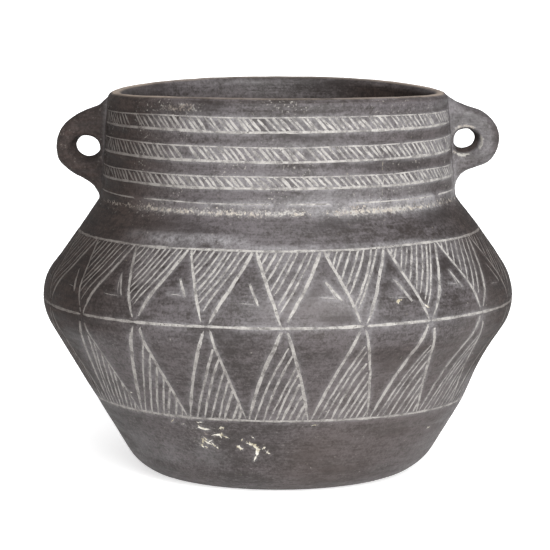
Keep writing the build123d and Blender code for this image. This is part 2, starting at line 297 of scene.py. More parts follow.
def lower_triangle(step):
    """Hatched triangle standing on the lower line with its point at the girth."""
    filler = "lower_triangles_filler"
    bottom = LOWER_LINE + 0.7
    left = (lower_corner(step) + 0.45, bottom)
    right = (lower_corner(step + 1) - 0.5, bottom)
    left_tip = (apex(step) - 0.8 + hand.uniform(-0.3, 0.3), SEAM_Z["girth"] - hand.uniform(0.8, 4.0))
    right_tip = (apex(step) + 0.9 + hand.uniform(-0.3, 0.3), SEAM_Z["girth"] - hand.uniform(0.8, 4.5))
    draw(left_tip, left, hand.uniform(1.9, 2.5), EDGE_DEPTH, filler)
    draw(right_tip, right, hand.uniform(1.6, 2.1), EDGE_DEPTH, filler)
    strokes = hand.choice((6, 7, 7, 8))
    for stroke in range(1, strokes + 1):
        part = (stroke + hand.uniform(-0.12, 0.12)) / (strokes + 0.8)
        start = shaken(between(right_tip, right, part), 0.25, 1.2)
        end = shaken(between(left, right, part), 0.15, 0.4)
        begin = between(start, end, hand.uniform(0.01, 0.06))
        draw(begin, end, hand.uniform(1.2, 1.7), HATCH_DEPTH, filler, tail=0.7)


def apex_crossing(step):
    """Thin empty scratches where the edges of both triangles run on across the girth line."""
    middle = apex(step)
    for lean in (-1, 1):
        top = (middle + lean * hand.uniform(0.7, 1.1), GIRTH_LINE + 3.5)
        end = (middle - lean * hand.uniform(0.7, 1.2), SEAM_Z["girth"] - 3.5)
        draw(top, end, 0.7, 0.3, "scratch", head=0.5)


for step in range(TRIANGLES):
    shoulder_triangle(step)
    lower_triangle(step)
    apex_crossing(step)
    draw_ring(
        GIRTH_LINE, 1.7, 0.5, "girth_line_filler", seed=4,
        span=(apex(step) + hand.uniform(-1.0, 1.2), apex(step + 1) - hand.uniform(-1.0, 1.2)),
    )
draw_ring(SHOULDER_LINE, 1.6, LINE_DEPTH, "shoulder_line_filler", seed=2)
draw_ring(LOWER_LINE, 1.6, LINE_DEPTH, "lower_line_filler", seed=3)


# ---- Neck bands ----
NECK_FILLERS = ("upper_neck_strokes_filler", "middle_neck_strokes_filler", "lower_neck_strokes_filler")
LUG_CLEAR = 9.5               # degrees round each lug with no neck strokes
STROKE_PITCH = 4.1
STROKE_LEAN = 0.68            # how far a neck stroke runs sideways for its height


def neck_band(band, filler, seed):
    """One band of slanted strokes, skipped here and there, between two thin border lines."""
    low, high = band
    lean = math.degrees(STROKE_LEAN * (high - low) / NECK_RADIUS)
    count = round(2 * math.pi * NECK_RADIUS / STROKE_PITCH)
    for stroke in range(count):
        bearing = -180 + 360 * (stroke + 0.5) / count + hand.uniform(-0.4, 0.4)
        if from_lug(bearing) < LUG_CLEAR or ring_noise(bearing, 9, seed) > 0.85:
            continue
        drop = 0.35 * ring_noise(bearing, 2.5, seed)
        start = (bearing - lean / 2, high - 0.6 + drop - hand.uniform(0, 0.9))
        end = (bearing + lean / 2 + hand.uniform(-0.4, 0.4), low + 1.1 + drop + hand.uniform(0, 0.7))
        draw(start, end, hand.uniform(1.2, 1.85), 0.5, filler, tail=0.7, waver=0.25)
    reach = 90 - LUG_CLEAR + 1
    for z, width, depth in ((low + 0.5, 1.6, LINE_DEPTH), (high - 0.4, 0.85, 0.25)):
        for middle in (0, 180):
            span = (middle - reach, middle + reach)
            draw_ring(z, width, depth, "neck_border_filler", seed=seed, span=span)


for number, (band, filler) in enumerate(zip(HATCH_BANDS, NECK_FILLERS)):
    neck_band(band, filler, seed=5 + number)

# The raised band at the neck's foot has a thin, broken line along its upper edge.
for first, last in ((-80, -52), (-47, -2), (3, 16), (24, 58), (62, 80), (100, 148), (155, 210), (216, 259)):
    draw_ring(FOOT_BAND[1] - 0.4, 0.9, 0.28, "neck_border_filler", seed=9, span=(first, last))


# ---- Chips and scratches ----
# Each is (bearing, height, length, width, lean): flakes of burnish knocked off, showing paler clay.
CHIPS = (
    (-23.6, 41.3, 8, 1.8, -0.14),
    (-19.2, 38.2, 7, 1.6, 0.05),
    (-16.6, 36.9, 3.6, 1.0, -0.45),
    (-17.6, 42.8, 3.8, 0.9, 0.25),
    (-17.0, 42.4, 2.4, 0.7, 1.3),
    (-24.0, 45.6, 2.4, 1.1, 0.3),
    (-25.2, 33.6, 4.0, 1.2, 0.9),
    (-24.0, 35.0, 3.2, 1.0, -0.7),
    (-23.6, 32.4, 5.6, 1.7, -0.5),
    (-22.4, 33.6, 3.8, 1.0, 0.6),
    (-21.6, 31.2, 4.0, 1.1, -0.9),
    (-25.8, 31.0, 3.0, 0.9, 0.2),
    (-24.6, 29.6, 2.6, 0.8, -0.3),
    (-33.8, 45.0, 3.5, 0.9, 0.7),
    (-30.4, 43.4, 2.0, 0.6, 0.3),
    (-11.6, 35.6, 2.0, 1.1, 0.9),
    (-12.4, 30.0, 2.9, 1.7, -0.5),
    (-8.0, 37.4, 1.8, 0.7, -0.5),
    (-8.9, 32.9, 3.2, 1.7, -0.2),
    (-7.3, 31.2, 3.6, 2.2, -0.8),
    (-6.9, 28.0, 5.4, 2.4, 1.5),
    (-7.9, 23.9, 3.8, 1.5, 1.1),
    (-5.0, 30.3, 1.4, 0.8, 0.7),
    (-3.5, 27.8, 1.5, 1.1, -0.9),
    (10.8, 45.6, 3.5, 0.9, 0.1),
    (29.2, 119.4, 2.6, 1.7, 0.5),
    (36.9, 115.0, 2.8, 1.3, -0.9),
    (-46, 60, 2, 1.1, 0.4),
    (57, 36, 4, 1.0, 0.3),
    (152, 36, 6, 1.4, 0.3),
    (156, 34, 3, 0.9, -0.4),
    (118, 24.8, 4, 1.3, -0.6),
    (-140, 30, 5, 1.6, 0.9),
    (-171, 150.5, 3, 1.2, 0.2),
    (88, 60, 2.5, 1.2, 1.0),
)


def chip(bearing, z, length, width, lean):
    """A ragged flake scar along a short leaning line."""
    count = max(5, round(length / 0.9))
    t = np.linspace(-0.5, 0.5, count)
    bend = hand.uniform(-0.3, 0.3)
    along = np.array((math.cos(lean), math.sin(lean)))
    side = np.array((-along[1], along[0]))
    shake = np.array([hand.uniform(-0.25, 0.25) for _ in range(count)])
    sideways = bend * length * t ** 2 + shake
    path = on_sheet(bearing, z) + np.outer(t * length, along) + np.outer(sideways, side)
    ragged = np.array([hand.uniform(0.6, 1.15) for _ in range(count)])
    half = width / 2 * ragged * np.sqrt(np.clip(1.02 - (2 * t) ** 2, 0.06, 1))
    add_cut(path, half, 0.34, "chip")


for values in CHIPS:
    chip(*values)
draw((35.5, 203), (35.1, 190), 0.45, 0.15, "faint_scratch", waver=0.5)
draw((35.2, 189), (34.7, 174), 0.45, 0.15, "faint_scratch", waver=0.5)


# ---- Furrow field ----
REACH = 6.0                   # the gap to a cut is measured this far from it
STRETCH = 12                  # a long cut is measured in stretches of this many steps


def outlines(cut):
    """Lines of a furrow on the sheet: both lips with both floor edges, or the middle of a narrow one."""
    scale = np.array((cut.stretch, 1))
    path = cut.path * scale
    along = np.gradient(path, axis=0)
    along /= np.linalg.norm(along, axis=1)[:, None]
    side = np.column_stack((-along[:, 1], along[:, 0]))
    rows = (-1, -0.5, 0.5, 1) if cut.half.max() > 0.55 else (-1, 0, 1)
    return [(path + side * (cut.half * row)[:, None]) / scale for row in rows]


def furrows(points):
    """For sheet points: furrow depth, index of the deepest cut, and the gap to the nearest lip."""
    depth = np.zeros(len(points))
    owner = np.full(len(points), -1)
    gap = np.full(len(points), 8.0)
    order = np.argsort(points[:, 0])
    sorted_u = points[order, 0]
    for number, cut in enumerate(cuts):
        scale = np.array((cut.stretch, 1))
        for begin in range(0, len(cut.path) - 1, STRETCH):
            path = cut.path[begin:begin + STRETCH + 1]
            half = cut.half[begin:begin + STRETCH + 1]
            first, last = np.searchsorted(sorted_u, (path[:, 0].min() - REACH, path[:, 0].max() + REACH))
            near = order[first:last]
            v = points[near, 1]
            near = near[(v > path[:, 1].min() - REACH) & (v < path[:, 1].max() + REACH)]
            if len(near) == 0:
                continue
            spots = points[near] * scale
            a, b = path[:-1] * scale, path[1:] * scale
            run = b - a
            t = np.einsum("psk,sk->ps", spots[:, None] - a[None], run) / (run ** 2).sum(1)
            t = np.clip(t, 0, 1)
            away = np.linalg.norm(spots[:, None] - (a[None] + t[..., None] * run[None]), axis=2)
            local = half[:-1][None] * (1 - t) + half[1:][None] * t
            ratio = away / local
            best = ratio.argmin(1)
            rows = np.arange(len(near))
            inside = ratio[rows, best]
            carved = cut.depth * np.clip(1 - inside ** 2, 0, 1) * np.clip(local[rows, best] / 0.5, 0.4, 1)
            deeper = carved > depth[near]
            depth[near[deeper]] = carved[deeper]
            owner[near[deeper]] = number
            gap[near] = np.minimum(gap[near], np.maximum(away - local, 0).min(1))
    return depth, owner, gap


# ---- Triangulate the decorated belt ----
BELT_LOW = s_at(18.5)
BELT_HIGH = s_at(224.5)


def repeated(points):
    """Sheet points with copies of those near one end of the turn put past the other end."""
    right = points[points[:, 0] > HALF_TURN - OVERLAP] - (FULL_TURN, 0)
    left = points[points[:, 0] < -HALF_TURN + OVERLAP] + (FULL_TURN, 0)
    return np.concatenate((points, left, right))


def plain_grid(low, high, rise, spacing):
    """Staggered, slightly shaken rows of points over one turn of the sheet."""
    columns = round(FULL_TURN / spacing)
    rows = []
    for row, v in enumerate(np.arange(low, high, rise)):
        u = -HALF_TURN + (np.arange(columns) + 0.5 * (row % 2)) * FULL_TURN / columns
        rows.append(np.column_stack((u, np.full(columns, v))))
    grid = np.concatenate(rows)
    return repeated(grid + np.random.default_rng(5).uniform(-0.2, 0.2, grid.shape) * spacing / GRID)


def belt_sheet():
    """Sheet points and triangles of the outside between the dish and the lip, furrow lines included."""
    points, edges = [], []

    def add_line(line):
        start = len(points)
        points.extend(map(tuple, line))
        edges.extend((start + k, start + k + 1) for k in range(len(line) - 1))

    step = FULL_TURN / AROUND
    ring_u = np.arange(-6, AROUND + 7) * step - HALF_TURN
    fixed_rows = [BELT_LOW, seam_v["girth"], seam_v["neck"], seam_v["rim"], BELT_HIGH]
    for v in fixed_rows:
        add_line(np.column_stack((ring_u, np.full(len(ring_u), v))))
    for cut in cuts:
        for line in outlines(cut):
            add_line(line)
    plain = plain_grid(BELT_LOW + GRID / 2, BELT_HIGH, GRID * 0.9, GRID)
    crust = plain_grid(s_at(FOOT_BAND[0] + 0.8), s_at(FOOT_BAND[1] - 0.5), 0.65, 0.8)
    plain = np.concatenate((plain, crust))
    gap = furrows(plain)[2]
    off_rows = np.min([np.abs(plain[:, 1] - v) for v in fixed_rows], axis=0)
    points.extend(map(tuple, plain[(gap > 0.45) & (off_rows > 0.8)]))
    made, _, faces, *_ = delaunay_2d_cdt([Vector(p) for p in points], edges, [], 0, 1e-4)
    made = np.array([tuple(p) for p in made])
    faces = np.array(faces)
    middle = made[faces].mean(1)
    kept = (middle[:, 0] >= -HALF_TURN) & (middle[:, 0] < HALF_TURN)
    kept &= (middle[:, 1] > BELT_LOW) & (middle[:, 1] < BELT_HIGH)
    return made, faces[kept]


sheet, triangles = belt_sheet()
depth, owner, gap = furrows(sheet)


# ---- From the sheet to the jar ----
slope_r = np.gradient(line_r, line_s)
slope_z = np.gradient(line_z, line_s)


def noise_at(points, size, seed):
    """Smooth noise, about -1 to 1, at each point; size is the width of its lumps in millimetres."""
    shift = Vector((seed * 17.1, seed * 5.7, seed * 11.3))
    return np.array([noise.noise(Vector(p) / size + shift) for p in points]) * 1.5


# The hand-built wall is pushed in here (out where negative), on the left (-1) or right (1) side:
# (side, millimetres, from height, to height, fade).
WALL_DENTS = (
    (1, 1.1, 66, 86, 10),
    (1, -2.3, 8, 54, 11),
    (1, -0.9, 126, 156, 9),
    (-1, 0.6, 126, 160, 9),
)
LIP_DROOP = 2.7               # the lip is lower at the lugs than in front, by this much
RIGHT_DROOP = 0.3


def place(sheet_points, sunk):
    """Points of the jar for sheet points, pushed in along the surface by sunk."""
    u, v = sheet_points[:, 0], sheet_points[:, 1]
    turn = u / SHEET_RADIUS
    radius = np.interp(v, line_s, line_r)
    z = np.interp(v, line_s, line_z)
    out_r = np.interp(v, line_s, slope_z)
    out_z = -np.interp(v, line_s, slope_r)
    length = np.hypot(out_r, out_z)
    even = np.column_stack((radius * np.sin(turn), -radius * np.cos(turn), z))
    uneven = 0.3 + 0.2 * noise_at(even, 55, 1) + 0.12 * noise_at(even, 14, 2)
    uneven += 0.06 * noise_at(even * (1, 1, 3), 9, 3)
    uneven = np.maximum(uneven, 0.03)
    sideways = np.sin(turn)
    for side, dent, low, high, fade in WALL_DENTS:
        uneven += np.maximum(side * sideways, 0) * dent * window(z, low, high, fade)
    push = uneven * smooth(FOOT[0] - 14, FOOT[0] + 6, radius + z * 3) + sunk
    radius = radius - push * out_r / length
    z = z - push * out_z / length
    droop = LIP_DROOP * np.abs(sideways) ** 3 + RIGHT_DROOP * np.maximum(sideways, 0)
    droop *= smooth(206, TOP, z)
    return np.column_stack((radius * np.sin(turn), -radius * np.cos(turn), z - droop))


def channels(sheet_points):
    """Depth of the plain shallow channels between the raised bands of the neck."""
    z = outer_height(sheet_points[:, 1])
    z[sheet_points[:, 1] > line_s[lip_index]] = 0
    bearing = np.degrees(sheet_points[:, 0] / SHEET_RADIUS)
    away = np.min([np.abs((bearing - lug + 180) % 360 - 180) for lug in LUG_BEARINGS], axis=0)
    depth = np.zeros(len(z))
    lows = (FOOT_BAND[1], HATCH_BANDS[2][1], HATCH_BANDS[1][1], HATCH_BANDS[0][1])
    highs = (HATCH_BANDS[2][0], HATCH_BANDS[1][0], HATCH_BANDS[0][0], HATCH_BANDS[0][1] + 3.2)
    wander = 0.35 * np.array([ring_noise(b, 2.5, 6) for b in bearing])
    for low, high in zip(lows, highs):
        side = np.minimum(z - low - wander, high + wander - z)
        depth = np.maximum(depth, CHANNEL_DEPTH * smooth(-0.1, 1.2, side))
    return depth * smooth(8, 11.5, away)


def ring_rows(levels):
    """Sheet points of full rings at the given places along the outline, without the doubled last one."""
    u = np.linspace(-HALF_TURN, HALF_TURN, AROUND + 1)[:-1]
    return np.array([(a, v) for v in levels for a in u])


def ring_faces(count, start=0):
    """Quads between neighbouring rings of points."""
    faces = []
    for row in range(count - 1):
        base = start + row * AROUND
        for k in range(AROUND):
            after = (k + 1) % AROUND
            faces.append((base + k, base + after, base + AROUND + after, base + AROUND + k))
    return faces


FLOOR_START = 12.0            # the innermost ring of the floor, closed by a fan
INNER_RISE = 2.6              # spacing of the rings on the inside

below = np.concatenate((
    np.linspace(FLOOR_START, seam_v["dish"], 34),
    np.linspace(seam_v["dish"], BELT_LOW, 6)[1:],
))
lip_rows = np.linspace(BELT_HIGH, inside_v["rim"], 26)
inner_marks = [*inside_v.values(), line_s[-1] - FLOOR_START]
inner_rows = [lip_rows]
for start, end in zip(inner_marks, inner_marks[1:]):
    inner_rows.append(np.linspace(start, end, round((end - start) / INNER_RISE) + 1)[1:])
above = np.concatenate(inner_rows)

lower_points = ring_rows(below)
upper_points = ring_rows(above)
all_sheet = np.concatenate((sheet, lower_points, upper_points, [(0, 0), (0, line_s[-1])]))
sunk = np.zeros(len(all_sheet))
sunk[:len(sheet)] = depth
sunk += channels(all_sheet)
body = place(all_sheet, sunk)
low_start = len(sheet)
up_start = low_start + len(lower_points)
faces = [tuple(f) for f in triangles]
faces += ring_faces(len(below), low_start)
faces += ring_faces(len(above), up_start)
bottom, floor = len(all_sheet) - 2, len(all_sheet) - 1
last_ring = up_start + (len(above) - 1) * AROUND
for k in range(AROUND):
    after = (k + 1) % AROUND
    faces.append((low_start + after, low_start + k, bottom))
    faces.append((last_ring + k, last_ring + after, floor))


def doubled(points, on_edge, reach=0.02):
    """For every point the first point that lies at the same spot; only edge points can be doubled."""
    same = np.arange(len(points))
    tree = KDTree(int(on_edge.sum()))
    for number in np.flatnonzero(on_edge):
        tree.insert(points[number], int(number))
    tree.balance()
    for number in np.flatnonzero(on_edge):
        same[number] = same[min(index for _, index, _ in tree.find_range(points[number], reach))]
    return same


# The sheet overlaps itself at the back of the jar, and the belt shares a ring with each neighbour.
on_edge = np.abs(all_sheet[:, 0]) > HALF_TURN - OVERLAP
for v in (BELT_LOW, BELT_HIGH):
    on_edge |= np.abs(all_sheet[:, 1] - v) < 0.001
same = doubled(body, on_edge)
welded = (tuple(dict.fromkeys(int(same[v]) for v in face)) for face in faces)
faces = [face for face in welded if len(face) > 2]


# The stretches of the outline that each clay piece takes, outside and then inside.
PIECE_SPANS = {
    "base_dish": ((0, seam_v["dish"]), (inside_v["dish"], line_s[-1] + 1)),
    "lower_wall": ((seam_v["dish"], seam_v["girth"]), (inside_v["girth"], inside_v["dish"])),
    "shoulder_wall": ((seam_v["girth"], seam_v["neck"]), (inside_v["neck"], inside_v["girth"])),
    "neck_collar": ((seam_v["neck"], seam_v["rim"]), (inside_v["rim"], inside_v["neck"])),
    "rim_coil": ((seam_v["rim"], inside_v["rim"]),),
}


def vertex_normals(points, faces):
    """Area-weighted normals of the whole jar, shared by its pieces so that no seam shows as a crease."""
    normals = np.zeros_like(points)
    for size in (3, 4):
        block = np.array([f for f in faces if len(f) == size])
        if len(block) == 0:
            continue
        first = points[block[:, 1 if size == 3 else 2]] - points[block[:, 0]]
        second = points[block[:, 2 if size == 3 else 3]] - points[block[:, 0 if size == 3 else 1]]
        face_normals = np.cross(first, second)
        for corner in range(size):
            np.add.at(normals, block[:, corner], face_normals)
    return normals / np.maximum(np.linalg.norm(normals, axis=1), 1e-9)[:, None]


normals = vertex_normals(body, faces)


def boundary_edges(faces):
    """Open edges of a set of faces, as directed edges."""
    seen = dict.fromkeys(edge for face in faces for edge in zip(face, face[1:] + face[:1]))
    return [(a, b) for a, b in seen if (b, a) not in seen]


def new_object(name, data):
    obj = bpy.data.objects.new(name, data)
    bpy.context.scene.collection.objects.link(obj)
    return obj


def make_mesh(name, points, faces, loop_normals=None):
    mesh = bpy.data.meshes.new(name)
    mesh.from_pydata([tuple(p) for p in np.asarray(points) * MM], [], faces)
    mesh.shade_smooth()
    if loop_normals is not None:
        mesh.normals_split_custom_set([tuple(n) for n in loop_normals])
    return new_object(name, mesh)


def open_rings(faces):
    """The open rings of a set of faces, each in the direction its faces run."""
    ahead = dict(boundary_edges(faces))
    rings = []
    while ahead:
        ring = [next(iter(ahead))]
        while ring[-1] in ahead:
            ring.append(ahead.pop(ring[-1]))
        rings.append(ring[:-1])
    return rings


def bearing_of(vertex):
    return math.atan2(body[vertex][0], -body[vertex][1])


def zip_rings(one, other):
    """Triangles through the wall between two open rings that run opposite ways round the jar."""
    a = sorted(one, key=bearing_of)
    b = sorted(other, key=bearing_of)
    made = []
    i = j = 0
    while i < len(a) or j < len(b):
        at_a, at_b = a[i % len(a)], b[j % len(b)]
        next_a = bearing_of(a[i + 1]) if i + 1 < len(a) else 9.0
        next_b = bearing_of(b[j + 1]) if j + 1 < len(b) else 9.0
        if j >= len(b) or (i < len(a) and next_a <= next_b):
            made.append((at_a, a[(i + 1) % len(a)], at_b))
            i += 1
        else:
            made.append((at_a, b[(j + 1) % len(b)], at_b))
            j += 1
    return made


def seam_faces(faces):
    """Faces through the wall that close the open rings of one clay piece."""
    rings = sorted(open_rings(faces), key=lambda ring: float(body[ring][:, 2].mean()))
    seams = []
    for pair in (rings[:2], rings[2:]):
        if len(pair) == 2:
            seam = zip_rings(*pair)
            run = set(zip(pair[0], pair[0][1:] + pair[0][:1]))
            if any((face[0], face[1]) in run for face in seam):
                seam = [face[::-1] for face in seam]
            seams += seam
    return seams


levels = [np.mean([all_sheet[v][1] for v in face]) for face in faces]


def paint(obj, fields):
    """Writes named values per point, which the materials read."""
    for name, values in fields.items():
        layer = obj.data.attributes.new(name, "FLOAT", "POINT")
        layer.data.foreach_set("value", np.asarray(values, np.float32))


def finish_piece(obj, material, node):
    obj.data.materials.append(material)
    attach(obj, "root")
    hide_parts(node)


# ---- Materials ----
class Nodes:
    """Small helper for writing a node tree; colours are linear (red, green, blue)."""

    def __init__(self, tree):
        self.nodes = tree.nodes
        self.links = tree.links

    def put(self, socket, value):
        """Links another node's output to a socket, or sets the socket's own value."""
        if isinstance(value, bpy.types.NodeSocket):
            self.links.new(value, socket)
        elif socket.type == "RGBA":
            socket.default_value = (*value, 1.0)
        else:
            socket.default_value = value

    def node(self, kind, inputs, **settings):
        """A new node with its settings made and its inputs linked or set."""
        made = self.nodes.new("ShaderNode" + kind)
        for name, value in settings.items():
            setattr(made, name, value)
        for socket, value in inputs.items():
            self.put(made.inputs[socket], value)
        return made

    def mix(self, share, a, b):
        return self.node("Mix", {"Factor": share, 6: a, 7: b}, data_type="RGBA").outputs[2]


class Shader(Nodes):
    """A node material; noise runs in the object's own metres."""

    def __init__(self, name):
        self.material = bpy.data.materials.new(name)
        self.material.use_nodes = True
        super().__init__(self.material.node_tree)
        self.coordinates = self.node("TexCoord", {}).outputs["Object"]

    def noise(self, scale, detail=3.0, roughness=0.6, stretch=(1, 1, 1)):
        """Noise, about 0.2 to 0.8; a larger stretch along an axis squeezes it there."""
        place = self.node("VectorMath", {0: self.coordinates, 1: stretch}, operation="MULTIPLY")
        inputs = {"Scale": scale, "Detail": detail, "Roughness": roughness, "Vector": place.outputs["Vector"]}
        return self.node("TexNoise", inputs).outputs["Fac"]

    def span(self, value, low, high, to_low=0.0, to_high=1.0):
        """Turns low to high into to_low to to_high, smoothly, and holds both ends."""
        inputs = {"Value": value, "From Min": low, "From Max": high, "To Min": to_low, "To Max": to_high}
        return self.node("MapRange", inputs, interpolation_type="SMOOTHSTEP").outputs["Result"]

    def math(self, operation, a, b):
        return self.node("Math", {0: a, 1: b}, operation=operation).outputs["Value"]

    def add(self, a, b):
        return self.math("ADD", a, b)

    def times(self, a, b):
        return self.math("MULTIPLY", a, b)

    def weigh(self, *parts):
        """Sum of values, each given with its weight."""
        total = self.times(parts[0][1], parts[0][0])
        for weight, value in parts[1:]:
            total = self.add(total, self.times(value, weight))
        return total

    def attribute(self, name):
        return self.node("Attribute", {}, attribute_name=name).outputs["Fac"]

    def bump(self, height, distance, strength, under=None):
        inputs = {"Height": height, "Distance": distance, "Strength": strength}
        if under is not None:
            inputs["Normal"] = under
        return self.node("Bump", inputs).outputs["Normal"]

    def surface(self, inputs):
        """Gives the material its surface, with the surface shader's inputs by name."""
        for name, value in inputs.items():
            self.put(self.nodes["Principled BSDF"].inputs[name], value)
        return self.material


def grey(value, warm=0.0):
    """Colour near grey; warm tips it towards brown."""
    return (value * (1 + warm), value, value * (1 - warm))


BLACK_CLAY = (0.0175, 0.0132, 0.0118)
RUBBED_CLAY = (0.081, 0.072, 0.0755)
PIT = (0.014, 0.011, 0.010)
SMUDGE = (0.0165, 0.013, 0.0125)
BROWN = (0.045, 0.031, 0.024)
PALE_HAZE_AND_SHEEN = (0.207, 0.199, 0.204)
LIME_CRUST = (0.27, 0.258, 0.238)
TAN_CRUST = (0.25, 0.19, 0.145)
# Colours of the clay under painted shade.
DEEP_SHADE = (0.007, 0.0035, 0.0026)
SOFT_SHADE = (0.031, 0.020, 0.016)
WORN_CLAY = (0.33, 0.27, 0.22)
LIME_SPECK = (0.24, 0.225, 0.205)
CREAM_CHIP = (0.47, 0.45, 0.40)
TAN_CHIP = (0.25, 0.22, 0.15)
SHADED_FILLER = (0.055, 0.042, 0.036)


def clay_material(name):
    """Burnished smoke-blackened clay: rubbing marks, brown patches, pale haze near the cuts, tan wear,
    painted shade and a painted sheen.
    """
    shader = Shader(name)
    patches = shader.noise(11, 3, 0.55)
    streaks = shader.noise(30, 4, 0.6, stretch=(1, 1, 8))
    lines = shader.noise(48, 3, 0.65, stretch=(1, 1, 20))
    mottle = shader.noise(190, 3, 0.65, stretch=(1, 1, 1.6))
    grit = shader.noise(620, 2, 0.7)
    tone = shader.weigh((0.24, patches), (0.2, streaks), (0.11, lines), (0.22, mottle), (0.23, grit))
    base = shader.mix(shader.span(tone, 0.42, 0.59), BLACK_CLAY, RUBBED_CLAY)
    pits = shader.span(shader.noise(950, 2, 0.8), 0.5, 0.66, 0.0, 0.4)
    base = shader.mix(pits, base, PIT)
    smudges = shader.span(shader.noise(15, 4, 0.65, stretch=(1, 1, 4)), 0.5, 0.68, 0.0, 0.7)
    base = shader.mix(smudges, base, SMUDGE)
    brown = shader.span(shader.noise(7, 3, 0.5), 0.5, 0.72, 0.0, 0.4)
    base = shader.mix(brown, base, BROWN)
    # Pale haze rubbed over the clay near the cuts, with a painted sheen on the front of the shoulder in the
    # same pale colour.
    cloud = shader.span(shader.noise(55, 5, 0.75), 0.3, 0.62)
    haze_and_sheen = shader.times(shader.attribute("haze_and_sheen"), cloud)
    haze_and_sheen = shader.times(haze_and_sheen, shader.span(grit, 0.3, 0.6, 0.55, 1.0))
    base = shader.mix(haze_and_sheen, base, PALE_HAZE_AND_SHEEN)
    # Crumbly lime residue.
    residue = shader.weigh(
        (1.0, shader.attribute("residue")),
        (0.9, shader.noise(230, 4, 0.75)),
        (0.8, shader.noise(800, 2, 0.7)),
    )
    tan = shader.span(shader.noise(75, 2, 0.5), 0.52, 0.68, 0.0, 0.6)
    crust = shader.mix(tan, LIME_CRUST, TAN_CRUST)
    base = shader.mix(shader.span(residue, 1.13, 1.5), base, crust)
    # Painted shade: the clay goes near black wherever the shade attribute read here is painted on.
    painted_shade = shader.attribute("painted_shade")
    shaded_clay = shader.mix(shader.span(tone, 0.42, 0.6), DEEP_SHADE, SOFT_SHADE)
    base = shader.mix(painted_shade, base, shaded_clay)
    # Worn lip and loose specks.
    worn = shader.span(shader.noise(50, 4, 0.7), 0.3, 0.6, 0.45, 1.0)
    base = shader.mix(shader.times(shader.attribute("wear"), worn), base, WORN_CLAY)
    clusters = shader.span(shader.noise(48, 2, 0.5), 0.45, 0.66)
    dots = shader.times(shader.span(shader.noise(760, 1, 0.5), 0.62, 0.74), clusters)
    base = shader.mix(shader.times(shader.attribute("specks"), dots), base, LIME_SPECK)
    # Chips show the raw clay under the burnish: cream, tan in places.
    flakes = shader.span(shader.noise(420, 3, 0.7), 0.2, 0.8, -0.35, 0.35)
    ragged = shader.add(shader.attribute("chip"), flakes)
    raw = shader.mix(shader.span(shader.noise(130, 3, 0.7), 0.42, 0.6), CREAM_CHIP, TAN_CHIP)
    base = shader.mix(shader.span(ragged, 0.25, 0.5), base, raw)
    gloss = shader.span(streaks, 0.3, 0.7, 0.44, 0.68)
    rubbed = shader.bump(lines, 0.0003, 0.6)
    return shader.surface({
        "Base Color": base,
        "Roughness": shader.add(gloss, shader.times(painted_shade, 0.4)),
        "Specular IOR Level": 0.36,
        "Normal": shader.bump(grit, 0.00022, 0.8, rubbed),
    })


def filler_material(name, pale, dull):
    """Chalky filler, thinner and greyer in places."""
    shader = Shader(name)
    patch = shader.span(shader.noise(160, 4, 0.7), 0.32, 0.62)
    crumbs = shader.noise(900, 3, 0.7)
    base = shader.mix(patch, dull, pale)
    base = shader.mix(shader.span(crumbs, 0.5, 0.8, 0, 0.5), base, grey(0.5, 0.03))
    base = shader.mix(shader.span(shader.noise(420, 3, 0.8), 0.4, 0.3), base, grey(0.06, 0.08))
    # Painted shade: the filler darkens where the clay's painted shade lies.
    base = shader.mix(shader.times(shader.attribute("painted_shade"), 0.7), base, SHADED_FILLER)
    return shader.surface({
        "Base Color": base,
        "Roughness": 0.9,
        "Specular IOR Level": 0.2,
        "Normal": shader.bump(crumbs, 0.0003, 0.8),
    })


clay = clay_material("burnished_black_clay")
lime = filler_material("lime_filler", pale=(0.285, 0.273, 0.257), dull=(0.115, 0.108, 0.104))
cream = filler_material("cream_crust", pale=(0.30, 0.275, 0.24), dull=(0.13, 0.112, 0.098))


# ---- Clay pieces ----
bearing_all = np.degrees(all_sheet[:, 0] / SHEET_RADIUS)
v_all = all_sheet[:, 1]
outer_z = np.interp(v_all, line_s, line_z)
outside = v_all < line_s[lip_index]
from_crown = v_all - line_s[lip_index]
full_gap = np.full(len(all_sheet), 9.0)
full_gap[:len(sheet)] = gap


def patch(left, right, side_fade, low, high, rise_fade):
    """One between two bearings and two heights, fading out past them."""
    return window(bearing_all, left, right, side_fade) * window(outer_z, low, high, rise_fade)


# Patches of each kind as (strength, from bearing, to bearing, fade, from height, to height, fade).
HAZE_AND_SHEEN_PATCHES = (
    (1.0, -48, -9, 4, 149, 155, 2),
    (0.5, -9, 42, 4, 148.5, 150.5, 0.9),
    (0.4, 105, 160, 9, 149, 154, 2),
    (0.3, -62, -18, 7, 15, 33, 5),
    (0.35, 10, 62, 9, 163, 181, 3),
    # Painted sheen, not haze: a pale patch over the front of the shoulder.
    (0.12, -26, 36, 14, 106, 132, 8),
)
RESIDUE_PATCHES = (
    (0.36, -44, -24, 3, 223, 229, 1.5),
    (0.3, -31, -17, 3, 29, 45, 3),
    (0.34, -66, -12, 6, 46.5, 50.5, 1.2),
)
# Painted shade patches: on the lower wall at the right front, and at the girth on the left.
SHADE_PATCHES = (
    (0.6, 14, 44, 7, 83, 94, 5),
    (1.0, -80, -58, 4, 107, 115, 2.5),
)
# Painted shade on the flanks by the outline's left (-1) and right (1): (side, from height, to height).
SHADED_FLANKS = ((-1, 52, 130), (1, 62, 165))
# How much raw clay an empty cut of each kind shows.
RAWNESS = {"chip": 1.0, "faint_scratch": 0.4}

